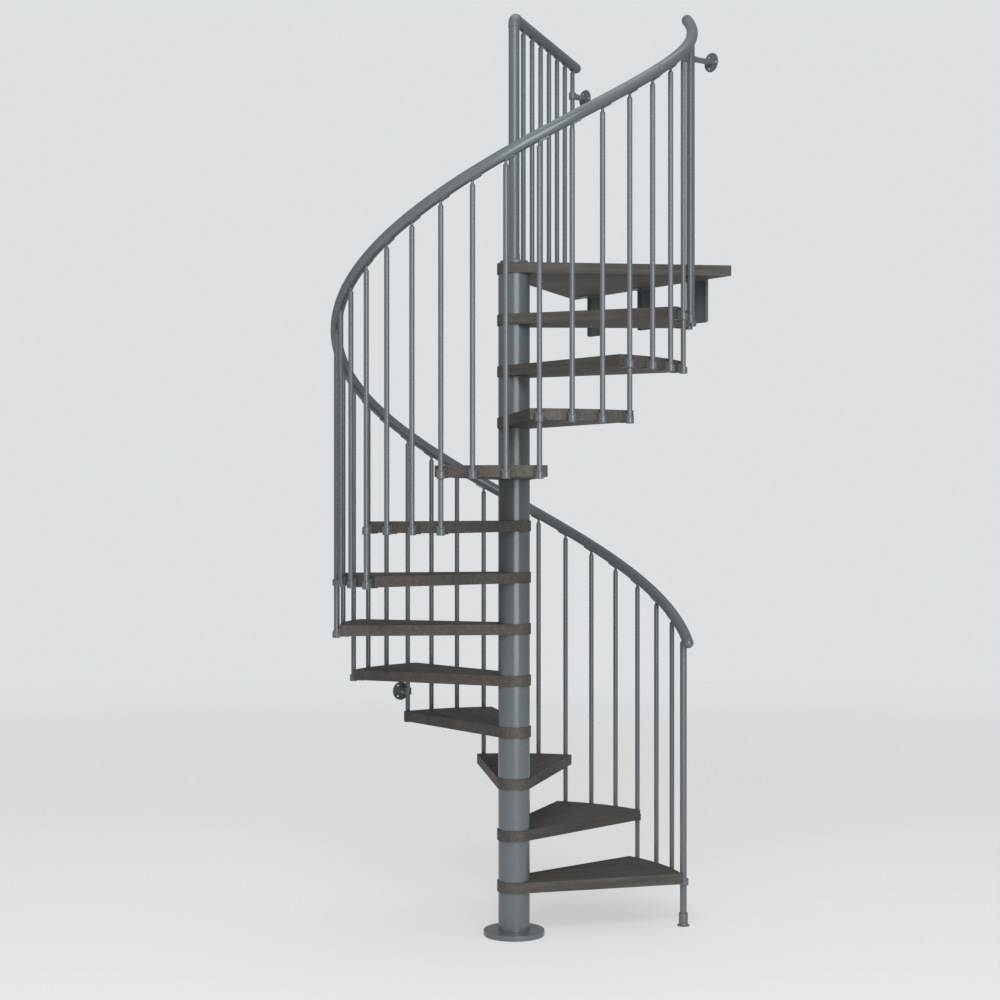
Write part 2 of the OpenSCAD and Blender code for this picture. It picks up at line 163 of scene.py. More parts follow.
def solids(node):
    """The lowest and highest corner of each separate solid in a CAD node, lowest top first."""
    bm = bmesh.new()
    bm.from_mesh(frame["nodes"][node].data)
    bmesh.ops.remove_doubles(bm, verts=bm.verts, dist=SAME_POINT)
    unseen = set(bm.verts)
    found = []
    while unseen:
        solid = [unseen.pop()]
        for vertex in solid:
            fresh = unseen & {e.other_vert(vertex) for e in vertex.link_edges}
            unseen -= fresh
            solid.extend(fresh)
        points = [v.co for v in solid]
        found.append((Vector(map(min, *points)), Vector(map(max, *points))))
    bm.free()
    return sorted(found, key=lambda corners: tuple(corners[1])[::-1])


def rods(*nodes):
    """The upright rods in some CAD nodes, lowest top first."""
    found = []
    for node in nodes:
        for low, high in solids(node):
            middle = (low + high) / 2
            found.append(Rod(middle.x, middle.y, low.z, high.z, (high.x - low.x) / 2))
    return sorted(found, key=lambda rod: rod.top)


def heading_of(rod):
    return math.atan2(rod.y, rod.x)


def turn_between(first, second):
    """The anticlockwise turn from one direction to another."""
    return (second - first) % (2 * math.pi)


def points_of(node):
    return [v.co for v in frame["nodes"][node].data.vertices]


def reach(node):
    """The least and the greatest distance of a CAD node's points from the column's axis."""
    distances = [math.hypot(p.x, p.y) for p in points_of(node)]
    return min(distances), max(distances)


def rail_length(node):
    """Where one length of the handrail starts, and how far it turns. The points that lie
    furthest out are on the tube's side line, at the height of its centre."""
    far = reach(node)[1]
    line = [p for p in points_of(node) if math.hypot(p.x, p.y) > far - 10 * NEAR]
    foot = min(line, key=lambda p: p.z)
    head = max(line, key=lambda p: p.z)
    heading = math.atan2(foot.y, foot.x)
    return RailLength(heading, foot.z, turn_between(heading, math.atan2(head.y, head.x)))


STAIR_RODS = rods("newel_post", "balusters_lower", "balusters_middle", "balusters_upper")
GUARD_RODS = sorted(rods("guard_balusters"), key=lambda rod: math.hypot(rod.x, rod.y))
NEWEL = STAIR_RODS[0]
ROD_R = STAIR_RODS[1].radius
BOARD_TOPS = [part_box(f"tread_{n:02}")[1].z for n in range(1, TREADS + 1)]
BOARD_T = BOARD_TOPS[0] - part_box("tread_01")[0].z
LANDING_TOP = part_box("landing")[1].z
ROD_CIRCLE = math.hypot(NEWEL.x, NEWEL.y)
ROD_TURN = turn_between(heading_of(NEWEL), heading_of(STAIR_RODS[1]))
RAIL_REACH = reach("handrail_2")
RAIL_R = (RAIL_REACH[1] - RAIL_REACH[0]) / 2
RAIL_LENGTHS = [rail_length(f"handrail_{n}") for n in range(1, 5)]
RAIL_PITCH = (STAIR_RODS[-1].top - NEWEL.top) / (ROD_TURN * (len(STAIR_RODS) - 1))
SLOPE = math.atan(RAIL_PITCH / ROD_CIRCLE)
RAIL_ABOVE_ROD = RAIL_LENGTHS[0].height - NEWEL.top + RAIL_PITCH * turn_between(
    RAIL_LENGTHS[0].heading, heading_of(NEWEL))
COLUMN_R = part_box("column_spacers")[1].x
POLE_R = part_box("column_pole")[1].x
POST_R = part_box("guard_post")[1].x
GUARD_Z = (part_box("guard_rail")[0].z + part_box("guard_rail")[1].z) / 2
GUARD_HEADING = heading_of(GUARD_RODS[-1])


# ---- modelling helpers ----


def settle():
    """Goes to object mode with nothing selected."""
    if bpy.context.object and bpy.context.object.mode != "OBJECT":
        bpy.ops.object.mode_set(mode="OBJECT")
    bpy.ops.object.select_all(action="DESELECT")


def activate(*pieces):
    """Selects some pieces and nothing else; the first is the active one."""
    settle()
    for piece in pieces:
        piece.select_set(True)
    bpy.context.view_layer.objects.active = pieces[0]


def in_order(piece):
    """Stores a piece's points and faces in a fixed order, so that each run gives the same mesh."""
    mesh = piece.data
    points = sorted((tuple(v.co), v.index) for v in mesh.vertices)
    rank = {index: number for number, (_, index) in enumerate(points)}
    rings = []
    for face in mesh.polygons:
        ring = [rank[index] for index in face.vertices]
        first = ring.index(min(ring))
        rings.append(ring[first:] + ring[:first])
    mesh.clear_geometry()
    mesh.from_pydata([point for point, _ in points], [], sorted(rings))


@contextmanager
def editing(piece):
    """Edit mode on one piece, with all of it selected."""
    activate(piece)
    in_order(piece)
    bpy.ops.object.mode_set(mode="EDIT")
    bpy.ops.mesh.select_all(action="SELECT")
    yield
    bpy.ops.object.mode_set(mode="OBJECT")


def select_parts(piece, kind, wanted):
    """In edit mode, selects the vertices, edges or faces for which wanted is true."""
    bpy.ops.mesh.select_mode(type=kind)
    bpy.ops.mesh.select_all(action="DESELECT")
    bm = bmesh.from_edit_mesh(piece.data)
    parts = {"VERT": bm.verts, "EDGE": bm.edges, "FACE": bm.faces}[kind]
    for part in parts:
        if wanted(part):
            part.select_set(True)
    bm.select_flush_mode()
    bmesh.update_edit_mesh(piece.data)


def middle_of(part):
    """The middle of an edge's or a face's points."""
    return sum((v.co for v in part.verts), Vector()) / len(part.verts)


def extent(edge):
    """How far an edge reaches along each axis."""
    return Vector(map(abs, edge.verts[1].co - edge.verts[0].co))


def extrude(x, y, z):
    bpy.ops.mesh.extrude_region_move(TRANSFORM_OT_translate={"value": (x, y, z)})


def turn_outwards():
    """In edit mode, makes all faces point outwards."""
    bpy.ops.mesh.select_all(action="SELECT")
    bpy.ops.mesh.normals_make_consistent(inside=False)


def apply_modifier(piece, kind, **settings):
    """Adds a modifier to a piece and applies it."""
    activate(piece)
    modifier = piece.modifiers.new(kind.title(), kind)
    for name, value in settings.items():
        setattr(modifier, name, value)
    bpy.ops.object.modifier_apply(modifier=modifier.name)


def combine(piece, tool, operation="UNION"):
    """Adds a tool to a piece, or cuts with it, and removes the tool."""
    settle()
    in_order(piece)
    in_order(tool)
    apply_modifier(piece, "BOOLEAN", operation=operation, object=tool, solver="EXACT")
    bpy.data.objects.remove(tool)
    return piece


def cut(piece, tool):
    return combine(piece, tool, "DIFFERENCE")


def place(piece, at=(0, 0, 0), turn=(0, 0, 0)):
    """Turns and moves a piece, and puts that into its mesh."""
    activate(piece)
    piece.rotation_euler = turn
    piece.location = at
    bpy.ops.object.transform_apply(location=True, rotation=True, scale=True)
    return piece


def at_rod(piece, rod, height):
    """Places a piece on a rod's axis, turned the way that the rod faces from the column."""
    return place(piece, (rod.x, rod.y, height), (0, 0, heading_of(rod)))


def copy_of(piece):
    """A copy of a piece with its own mesh."""
    activate(piece)
    bpy.ops.object.duplicate(linked=False)
    return bpy.context.object


def joined(pieces):
    """One piece made of several."""
    activate(*pieces)
    bpy.ops.object.join()
    return bpy.context.object


def smooth(piece, angle=40):
    """Shades a piece smooth, apart from its edges sharper than angle degrees."""
    activate(piece)
    in_order(piece)
    bpy.ops.object.shade_smooth_by_angle(angle=math.radians(angle))
    return piece


def rounded(piece, width, segments=2, angle=40):
    """Rounds the edges of a piece that are sharper than angle degrees."""
    with editing(piece):
        bpy.ops.mesh.remove_doubles(threshold=WELD)
    smooth(piece, angle)
    apply_modifier(
        piece, "BEVEL", width=width, segments=segments, limit_method="ANGLE",
        angle_limit=math.radians(angle), harden_normals=True, use_clamp_overlap=True)
    return piece


def turned(profile, sides=48):
    """A solid turned about the Z axis: (radius, height) points, from the foot up. The first
    ring and the last are closed flat. A profile that turns down at its end makes a hole."""
    settle()
    radius, height = profile[0]
    bpy.ops.mesh.primitive_circle_add(vertices=sides, radius=radius, fill_type="NGON")
    piece = bpy.context.object
    with editing(piece):
        bpy.ops.transform.translate(value=(0, 0, height))
        for next_radius, next_height in profile[1:]:
            extrude(0, 0, next_height - height)
            share = next_radius / radius
            bpy.ops.transform.resize(
                value=(share, share, 1), center_override=(0, 0, next_height))
            radius, height = next_radius, next_height
        turn_outwards()
    return piece


def straight(radius, bottom, top, sides=48):
    """A plain upright solid round the Z axis, to cut with or to shape further."""
    return turned([(radius, bottom), (radius, top)], sides)


def tube(outer, wall, bottom, top, sides):
    """An upright tube, open at both ends."""
    settle()
    bpy.ops.mesh.primitive_cylinder_add(
        vertices=sides, radius=outer, depth=top - bottom, end_fill_type="NOTHING")
    piece = place(bpy.context.object, (0, 0, (top + bottom) / 2))
    apply_modifier(piece, "SOLIDIFY", thickness=wall, offset=-1)
    return piece


def block(low, high):
    """A box between two corners."""
    settle()
    low, high = Vector(low), Vector(high)
    bpy.ops.mesh.primitive_cube_add(size=1, scale=high - low)
    return place(bpy.context.object, (low + high) / 2)


def sliced(piece, point, normal):
    """Cuts off what lies beyond a plane, on the side that its normal points to."""
    with editing(piece):
        bpy.ops.mesh.bisect(
            plane_co=point, plane_no=normal, use_fill=True, clear_outer=True, clear_inner=False)
    return piece


def split(piece, height):
    """Divides the faces that cross a height, and cuts nothing off."""
    with editing(piece):
        bpy.ops.mesh.bisect(plane_co=(0, 0, height), plane_no=(0, 0, 1))
    return piece


def arc(centre, radius, start, end, steps):
    """Points on an arc in a profile's plane, from one angle to another, in degrees."""
    angles = [math.radians(start + (end - start) * i / steps) for i in range(steps + 1)]
    return [(centre[0] + radius * math.cos(a), centre[1] + radius * math.sin(a)) for a in angles]


def chamfered_foot(radius, height, size):
    """A profile's points round the foot of a solid."""
    return [(radius - size, height), (radius, height + size)]


def rounded_top(radius, height, size, steps):
    """A profile's points round the top edge of a solid."""
    return arc((radius - size, height - size), size, 0, 90, steps)


def hand_over(piece, name, finish, slot, *nodes):
    """Gives a finished piece its name, finish and body, and lets it stand for its CAD nodes."""
    piece.name = piece.data.name = name
    piece.data.materials.clear()
    piece.data.materials.append(finish_made(finish))
    for face in piece.data.polygons:
        face.material_index = 0
    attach(piece, BODY)
    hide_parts(*nodes)


def coated(piece, name, *nodes):
    """Hands over a piece with the powder coat."""
    hand_over(piece, name, powder_coat, METAL, *nodes)


# ---- finishes ----


def finish_made(finish):
    """The material that a finish function makes, made only once."""
    return bpy.data.materials.get(finish.__name__) or finish(finish.__name__)


def new_finish(name):
    """A material, its shader tree and its surface shader."""
    material = bpy.data.materials.new(name)
    material.use_nodes = True
    return material, material.node_tree, material.node_tree.nodes["Principled BSDF"]


def feed(node, inputs):
    """Sets a node's inputs, by name or number, to values or to the sockets that feed them."""
    for key, value in inputs.items():
        if isinstance(value, bpy.types.NodeSocket):
            node.id_data.links.new(value, node.inputs[key])
        else:
            node.inputs[key].default_value = value


def add_node(tree, kind, inputs, output=0, **settings):
    """Adds a shader node and gives back one of its outputs."""
    node = tree.nodes.new("ShaderNode" + kind)
    for name, value in settings.items():
        setattr(node, name, value)
    feed(node, inputs)
    return node.outputs[output]


def noise(tree, spot, scale, detail, roughness=0.5, distortion=0.0):
    return add_node(tree, "TexNoise", {
        "Vector": spot, "Scale": scale, "Detail": detail, "Roughness": roughness,
        "Distortion": distortion})


def reckon(tree, operation, *values):
    """A sum on numbers or sockets."""
    return add_node(tree, "Math", dict(enumerate(values)), operation=operation)


def ramp(tree, factor, *stops):
    """A colour ramp with (place, colour) stops; a single number is a grey."""
    colours = add_node(tree, "ValToRGB", {"Fac": factor})
    elements = colours.node.color_ramp.elements
    while len(elements) < len(stops):
        elements.new(0.5)
    for element, (position, colour) in zip(elements, stops):
        element.position = position
        element.color = (colour, colour, colour, 1) if isinstance(colour, float) else colour
    return colours


def darkened(tree, colour, shade):
    """A colour times a shade."""
    return add_node(tree, "Mix", {"Factor": 1.0, 6: colour, 7: shade}, 2,
                    data_type="RGBA", blend_type="MULTIPLY")


def relief(tree, height, strength, depth):
    return add_node(tree, "Bump", {"Strength": strength, "Distance": depth, "Height": height})


def powder_coat(name):
    """Blue-grey powder coat: fine darker specks, a faint drift of tone and orange peel."""
    look = bpy.context.scene.stair_metal
    material, tree, surface = new_finish(name)
    spot = add_node(tree, "TexCoord", {}, "Object")
    specks = noise(tree, spot, scale=300, detail=4, roughness=0.6)
    drift = noise(tree, spot, scale=7, detail=3)
    peel = noise(tree, spot, scale=420, detail=1.5)
    colour = ramp(tree, specks, (0.39, look.speck), (0.56, look.coat))
    feed(surface, {
        "Base Color": darkened(tree, colour, ramp(tree, drift, (0.3, 0.92), (0.7, 1.0))),
        "Roughness": ramp(tree, specks, (0.3, 0.27), (0.7, 0.20)),
        "Normal": relief(tree, peel, strength=0.12, depth=0.0003),
        "Metallic": 0.25,
        "Specular IOR Level": 0.4,
    })
    return material


def zinc_plate(name):
    """Bright zinc plate for screw heads."""
    dull, bright = (0.24, 0.26, 0.27, 1), (0.36, 0.38, 0.40, 1)
    material, tree, surface = new_finish(name)
    bloom = noise(tree, add_node(tree, "TexCoord", {}, "Object"), scale=600, detail=3)
    feed(surface, {
        "Base Color": ramp(tree, bloom, (0.3, dull), (0.7, bright)),
        "Roughness": ramp(tree, bloom, (0.3, 0.38), (0.7, 0.26)),
        "Metallic": 0.9,
    })
    return material


def stained_wood(name):
    """Dark stained wood. The grain attribute holds each board's own coordinates: x along the
    grain, y across it."""
    look = bpy.context.scene.stair_wood
    material, tree, surface = new_finish(name)
    grain = add_node(tree, "Attribute", {}, "Vector", attribute_name="grain")
    across = add_node(tree, "SeparateXYZ", {"Vector": grain}, "Y")
    number = reckon(tree, "FLOOR", reckon(tree, "DIVIDE", across, look.lath))
    lath = add_node(tree, "TexWhiteNoise", {"W": number}, noise_dimensions="1D").node.outputs
    apart = add_node(tree, "VectorMath", {0: lath["Color"], 1: (0.8, 0.3, 0.5), 2: grain},
                     operation="MULTIPLY_ADD")
    coarse = add_node(tree, "Mapping", {"Vector": apart, "Scale": (2.6, 120, 52)})
    fine = add_node(tree, "Mapping", {"Vector": apart, "Scale": (26, 1100, 1100)})
    streaks = noise(tree, coarse, scale=1, detail=6, roughness=0.62, distortion=0.5)
    pores = noise(tree, fine, scale=1, detail=2, roughness=0.6)
    shift = reckon(tree, "MULTIPLY_ADD", lath["Value"], 0.12, -0.06)
    stain = ramp(tree, reckon(tree, "ADD", streaks, shift),
                 (0.30, look.dark), (0.50, look.middle), (0.72, look.light))
    height = reckon(tree, "MULTIPLY_ADD", streaks, 0.5, pores)
    feed(surface, {
        "Base Color": darkened(tree, stain, ramp(tree, pores, (0.36, 0.72), (0.48, 1.0))),
        "Roughness": ramp(tree, streaks, (0.3, 0.70), (0.7, 0.56)),
        "Normal": relief(tree, height, strength=0.3, depth=0.0005),
        "Specular IOR Level": 0.5,
    })
    return material


# ---- shared shapes ----


def play():
    return bpy.context.scene.stair_metal.play


def domed_rod(rod, rise):
    """An upright rod in its place. Its dome ends in a thin neck that rises above its top."""
    neck = bpy.context.scene.stair_parts.neck
    lean = math.acos(neck / rod.radius)
    centre = (0, rod.top - rod.radius * math.sin(lean))
    dome = arc(centre, rod.radius, 0, math.degrees(lean), 8)
    profile = [(rod.radius, rod.bottom), *dome, (neck, rod.top + rise)]
    return place(smooth(turned(profile, 32)), (rod.x, rod.y, 0))


def rail_drill(radius, turn):
    """A long round tool that lies along Y before its turn about X."""
    return place(straight(radius, -0.1, 0.1, 96), turn=(turn, 0, 0))


def saddle(tilt, drop):
    """The hollowed plate under a rail, with the neck that comes up to it. The rail runs
    along Y through the origin, tilted about X, and the neck starts drop below it."""
    parts = bpy.context.scene.stair_parts
    seat = RAIL_R + play()
    half, corner, edge = 0.010, 0.006, 0.0005
    rim = -RAIL_R * 0.7
    plate = straight(seat + parts.saddle_plate, -parts.saddle_down, parts.saddle_up, 96)
    place(plate, turn=(-QUARTER, 0, 0))
    for point, normal in (((half, 0, 0), (1, 0, 0)), ((-half, 0, 0), (-1, 0, 0)),
                          ((0, 0, rim), (0, 0, 1))):
        sliced(plate, point, normal)
    with editing(plate):
        select_parts(plate, "EDGE", lambda e: abs(abs(middle_of(e).x) - half) < NEAR
                     and extent(e).y < NEAR)
        bpy.ops.mesh.bevel(offset=corner, segments=5, affect="EDGES")
    cut(plate, rail_drill(seat, QUARTER))
    place(plate, turn=(tilt, 0, 0))
    neck, foot = parts.neck, -RAIL_R * 0.98
    flare = ((0, -0.007), (0.0006, -0.004), (0.0022, -0.002), (0.0030, 0))
    stem = turned([(neck, -drop), *[(neck + out, foot + up) for out, up in flare]], 32)
    cut(stem, rail_drill(seat, QUARTER + tilt))
    return rounded(combine(plate, stem), edge)


def cup(radius, rod_radius, below, through):
    """A cast cup for a rod, with the block that meets the tread and the lip below it. Its
    rod stands at the origin, the tread lies towards -X, and z = 0 is the tread's top."""
    parts = bpy.context.scene.stair_parts
    rim, floor, lip_reach, lip_t, inset = 0.0025, 0.004, 0.036, 0.004, 0.001
    edge = ROD_CIRCLE - reach("tread_01")[1]
    under = -BOARD_T - below
    body = turned([*arc((radius - rim, under + rim), rim, -90, 0, 5), (radius, 0)])
    half = parts.cup_neck
    combine(body, block((-edge - rim, -half, under + 1.3 * rim), (0, half, -inset)))
    fall = math.atan(parts.cup_slant / (2 * radius))
    sliced(body, (-radius, 0, -parts.cup_drop), (math.sin(fall), 0, math.cos(fall)))
    sliced(body, (play() - edge, 0, 0), (-1, 0, 0))
    tongue = half - inset
    lip = block((-edge - lip_reach, -tongue, -BOARD_T - lip_t), (0, tongue, -BOARD_T))
    with editing(lip):
        select_parts(lip, "EDGE", lambda e: middle_of(e).x < -edge and extent(e).z > lip_t / 2)
        bpy.ops.mesh.bevel(offset=tongue * 0.98, segments=8, affect="EDGES")
    combine(body, lip)
    bottom = under - inset if through else under + floor
    cut(body, straight(rod_radius + play(), bottom, 0.01))
    return rounded(body, bpy.context.scene.stair_metal.rounding, angle=38)


# ---- boards ----


def side_foot(corner, collar, side):
    """Where a board's side, coming from a corner, touches the round inner end. The sides
    touch a circle just inside the collar, which stands a little proud of them."""
    circle = collar - 0.001
    lean = math.atan2(corner[1], corner[0]) + side * math.acos(circle / math.hypot(*corner))
    return circle * math.cos(lean), circle * math.sin(lean)


def wedge_board(slab, front, back, collar):
    """Cuts a slab to a wedge whose sides run from two corners to the round inner end."""
    ends = []
    for corner, side in ((front, -1), (back, 1)):
        foot = side_foot(corner, collar, side)
        run = (corner[0] - foot[0], corner[1] - foot[1])
        sliced(slab, (*foot, 0), (-side * run[1], side * run[0], 0))
        ends.append(foot[0])
    sliced(slab, (min(ends), 0, 0), (-1, 0, 0))
    combine(slab, straight(collar, -BOARD_T, 0, 128))
    return cut(slab, straight(POLE_R + play(), -BOARD_T - 0.01, 0.01, 64))


def lay_grain(board, direction, number):
    """Stores each point's place in the board's own wood, with x along the grain."""
    turn = Matrix.Rotation(-direction, 3, "Z")
    shift = Vector((1.37 * number, 0.613 * number, 0.291 * number))
    values = [c for v in board.data.vertices for c in turn @ v.co + shift]
    if "grain" in board.data.attributes:
        board.data.attributes.remove(board.data.attributes["grain"])
    board.data.attributes.new("grain", "FLOAT_VECTOR", "POINT").data.foreach_set("vector", values)


def tread_heading(n):
    """The direction that a tread's middle line points in."""
    begin = heading_of(STAIR_RODS[PER_TREAD * (n - 1)])
    return begin + turn_between(begin, heading_of(STAIR_RODS[PER_TREAD * n])) / 2


def front_direction(front, collar):
    foot = side_foot(front, collar, -1)
    return math.atan2(front[1] - foot[1], front[0] - foot[0])


def softened(board):
    """Rounds a board's edges."""
    return rounded(board, bpy.context.scene.stair_wood.rounding, 3, 35)


class STAIR_OT_treads(bpy.types.Operator):
    """Models the wedge treads and stacks them round the column"""

    bl_idname = "stair.treads"
    bl_label = "Treads"

    def execute(self, context):
        points = points_of("tread_01")
        outer = reach("tread_01")[1]
        facing = Vector((math.cos(tread_heading(1)), math.sin(tread_heading(1)), 0))
        collar = -min(p.dot(facing) for p in points)
        rim = [Vector((p.x, p.y, 0)) for p in points if math.hypot(p.x, p.y) > outer - 20 * NEAR]
        half_sweep = max(p.angle(facing) for p in rim)
        back = (outer * math.cos(half_sweep), outer * math.sin(half_sweep))
        front = (back[0], -back[1])
        slab = straight(outer, -BOARD_T, 0, 360)
        board = softened(wedge_board(slab, front, back, collar))
        for n, top in enumerate(BOARD_TOPS, 1):
            step = copy_of(board)
            lay_grain(step, front_direction(front, collar), n)
            place(step, (0, 0, top), (0, 0, tread_heading(n)))
            hand_over(step, f"wood_tread_{n:02}", stained_wood, WOOD, f"tread_{n:02}")
        bpy.data.objects.remove(board)
        return {"FINISHED"}


class STAIR_OT_landing(bpy.types.Operator):
    """Models the straight-edged landing that closes the top"""

    bl_idname = "stair.landing"
    bl_label = "Landing"

    def execute(self, context):
        rod_gap = 0.00075
        points = points_of("landing")
        edge = max(p.x for p in points)
        ends = [p.y for p in points if p.x > edge - NEAR]
        collar = -min(p.x for p in points)
        front, back = (edge, min(ends)), (edge, max(ends))
        board = wedge_board(block((-1, -1, -BOARD_T), (edge, 1, 0)), front, back, collar)
        last = STAIR_RODS[-1]
        drill = straight(last.radius + rod_gap, -BOARD_T - 0.01, 0.01)
        softened(cut(board, place(drill, (last.x, last.y, 0))))
        lay_grain(board, front_direction(front, collar), TREADS + 1)
        place(board, (0, 0, LANDING_TOP))
        hand_over(board, "wood_landing", stained_wood, WOOD, "landing")
        return {"FINISHED"}


# ---- the column ----


class STAIR_OT_column(bpy.types.Operator):
    """Models the base plate and the tubes between the boards"""

    bl_idname = "stair.column"
    bl_label = "Column"

    def execute(self, context):
        radius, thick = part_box("base_plate")[1].x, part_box("base_plate")[1].z
        plate = turned([*chamfered_foot(radius, 0, 0.001),
                        *rounded_top(radius, thick, 0.003, 5)], 160)
        coated(smooth(plate), "foot_plate", "base_plate")
        wall = context.scene.stair_parts.column_wall
        tubes = [rounded(tube(COLUMN_R, wall, low.z, high.z, 96), 0.001)
                 for low, high in solids("column_spacers")]
        coated(joined(tubes), "column_tubes", "column_spacers")
        slots = frame["nodes"]["column_pole"].data.materials
        slots.clear()
        slots.append(finish_made(powder_coat))
        return {"FINISHED"}


# ---- cups and rods ----


class STAIR_OT_cups(bpy.types.Operator):
    """Models the cups that hold the rods on the treads' edges"""

    bl_idname = "stair.cups"
    bl_label = "Baluster cups"

    def execute(self, context):
        radius = 0.016
        below = BOARD_TOPS[0] - BOARD_T - solids("sockets_lower")[0][0].z
        closed = cup(radius, ROD_R, below, through=False)
        open_cup = cup(radius, ROD_R, below, through=True)
        for name, first, last in FLIGHTS:
            made = []
            for n in range(first, last + 1):
                start = PER_TREAD * (n - 1)
                for k in range(max(1, start), PER_TREAD * n + 1):
                    master = open_cup if k == start else closed
                    made.append(at_rod(copy_of(master), STAIR_RODS[k], BOARD_TOPS[n - 1]))
            coated(joined(made), f"cups_{name}", f"sockets_{name}")
        bpy.data.objects.remove(closed)
        bpy.data.objects.remove(open_cup)
        return {"FINISHED"}


class STAIR_OT_rods(bpy.types.Operator):
    """Models the domed rods between the cups and the handrail"""

    bl_idname = "stair.rods"
    bl_label = "Balusters"

    def execute(self, context):
        for name, first, last in FLIGHTS:
            flight = STAIR_RODS[PER_TREAD * (first - 1) + 1:PER_TREAD * last + 1]
            made = [domed_rod(rod, rise=0.004) for rod in flight]
            coated(joined(made), f"rods_{name}", f"balusters_{name}")
        return {"FINISHED"}


class STAIR_OT_newel(bpy.types.Operator):
    """Models the first post with its clamp and its foot"""

    bl_idname = "stair.newel"
    bl_label = "First post"

    def execute(self, context):
        coated(domed_rod(NEWEL, rise=0.004), "first_post", "newel_post")
        self.foot()
        self.clamp()
        return {"FINISHED"}

    def foot(self):
        sleeve, base, rise, edge, mouth, floor = 0.019, 0.003, 0.011, 0.001, 0.0004, 0.005
        low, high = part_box("newel_foot")
        radius = (high.x - low.x) / 2
        bore = NEWEL.radius + play()
        angles = [math.radians(a) for a in range(0, 91, 10)]
        flare = [(radius - (radius - sleeve) * math.sin(a), base + rise * (1 - math.cos(a)))
                 for a in angles]
        foot = turned([*chamfered_foot(radius, 0, 0.0006), *flare,
                       *rounded_top(sleeve, high.z, edge, 4), (bore + mouth, high.z),
                       (bore, high.z - mouth), (bore, floor)], 64)
        coated(smooth(place(foot, (NEWEL.x, NEWEL.y, 0))), "first_post_foot", "newel_foot")

    def clamp(self):
        radius, screw_depth = 0.022, 0.037
        below = BOARD_TOPS[0] - BOARD_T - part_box("newel_clamp")[0].z
        clamp = cup(radius, NEWEL.radius, below, through=True)
        coated(at_rod(clamp, NEWEL, BOARD_TOPS[0]), "first_post_clamp", "newel_clamp")
        head = screw_head(0.0045, 0.0026)
        place(head, (0, 0.0004 - radius, -screw_depth), (QUARTER, 0, 0))
        hand_over(at_rod(head, NEWEL, BOARD_TOPS[0]), "clamp_screw", zinc_plate, METAL)


def screw_head(radius, height):
    """A low domed screw head with a hexagon socket, standing on z = 0."""
    dome = arc((radius * 0.35, height * 0.25), radius * 0.72, 25, 80, 5)
    head = turned([(radius, 0), (radius, height * 0.45), *dome], 40)
    top = max(v.co.z for v in head.data.vertices)
    return smooth(cut(head, straight(radius * 0.42, top - height * 0.6, top + height, 6)))


# ---- the handrail ----


def helix_point(length, turn=0):
    """The handrail's centre after a turn from the start of one length."""
    angle = length.heading + turn
    return Vector((ROD_CIRCLE * math.cos(angle), ROD_CIRCLE * math.sin(angle),
                   length.height + RAIL_PITCH * turn))


def helical_tube(length):
    """A length of tube that winds up round the column."""
    settle()
    bpy.ops.mesh.primitive_circle_add(
        vertices=40, radius=RAIL_R, fill_type="NOTHING", location=helix_point(length),
        rotation=(SLOPE - QUARTER, 0, length.heading))
    bpy.ops.object.transform_apply(location=True, rotation=True, scale=True)
    wound = bpy.context.object
    steps = math.ceil(math.degrees(length.turn) / 1.5)
    apply_modifier(
        wound, "SCREW", angle=length.turn, screw_offset=RAIL_PITCH * length.turn,
        steps=steps, render_steps=steps, axis="Z", use_smooth_shade=True)
    with editing(wound):
        bpy.ops.mesh.fill_holes(sides=0)
        turn_outwards()
    return smooth(wound)


def on_rail(piece, length, turn=0, downhill=False):
    """Places a piece that was made along Z so that it lies along the handrail."""
    lean = SLOPE - QUARTER + (math.pi if downhill else 0)
    return place(piece, helix_point(length, turn), (lean, 0, length.heading + turn))


def end_cap():
    """A domed end cap for a rail, with a fine seam, standing on z = 0."""
    seam, skirt = 0.0006, 0.003
    spigot = RAIL_R - 0.004
    return smooth(turned([(spigot, -skirt), (spigot, 0), (RAIL_R - seam, 0), (RAIL_R, seam),
                          (RAIL_R, skirt), *arc((0, skirt), RAIL_R, 4, 88, 14)]))


class STAIR_OT_handrail(bpy.types.Operator):
    """Models the winding handrail with its joint rings and end caps"""

    bl_idname = "stair.handrail"
    bl_label = "Handrail"

    def execute(self, context):
        for n, length in enumerate(RAIL_LENGTHS, 1):
            coated(helical_tube(length), f"rail_tube_{n}", f"handrail_{n}")
        outer, groove = RAIL_R + 0.0012, 0.0007
        upper = [(outer, 0.0006), (outer, 0.0035), (outer - 0.0004, 0.0045), (RAIL_R, 0.0052)]
        lower = [(radius, -height) for radius, height in reversed(upper)]
        rings = []
        for length in RAIL_LENGTHS[1:]:
            ring = smooth(turned([*lower, (outer - groove, 0), *upper], 64), 50)
            rings.append(on_rail(ring, length))
        coated(joined(rings), "rail_rings", "handrail_rings")
        last = RAIL_LENGTHS[-1]
        caps = [on_rail(end_cap(), RAIL_LENGTHS[0], downhill=True),
                on_rail(end_cap(), last, last.turn)]
        coated(joined(caps), "rail_caps", "handrail_caps")
        return {"FINISHED"}


class STAIR_OT_saddles(bpy.types.Operator):
    """Models the saddle plates that join the rods to the handrail"""

    bl_idname = "stair.saddles"
    bl_label = "Saddles"

    def execute(self, context):
        master = saddle(SLOPE, RAIL_ABOVE_ROD)
        made = [at_rod(copy_of(master), rod, rod.top + RAIL_ABOVE_ROD) for rod in STAIR_RODS]
        bpy.data.objects.remove(master)
        coated(joined(made), "rail_saddles", "handrail_saddles")
        return {"FINISHED"}


# ---- the landing's guard ----


